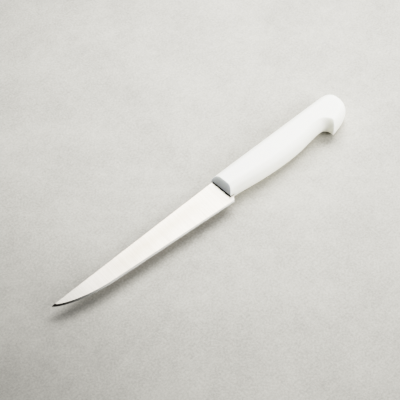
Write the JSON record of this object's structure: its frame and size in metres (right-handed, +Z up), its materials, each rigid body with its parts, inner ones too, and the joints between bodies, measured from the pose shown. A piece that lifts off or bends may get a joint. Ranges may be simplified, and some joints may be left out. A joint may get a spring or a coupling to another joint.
{
  "type": "cheese knife",
  "caption": "Narrow pointed cheese knife with a flat-ground satin steel blade and a white moulded handle whose pommel ends in a finger hook.",
  "frame": {"origin": "middle of the knife's box, on the surface that the knife lies on", "axes": "+X along the knife towards the point, +Y from the spine towards the cutting edge, +Z up through the thickness"},
  "size_m": [0.2824, 0.0316, 0.016],
  "materials": {
    "blade_steel": "satin stainless steel, finely ground across the blade, with a brighter sharpened bevel",
    "handle_plastic": "white polypropylene with a smooth satin mould finish"
  },
  "bodies": {
    "root": {"blade": "blade_steel", "handle": "handle_plastic"}
  },
  "joints": []
}
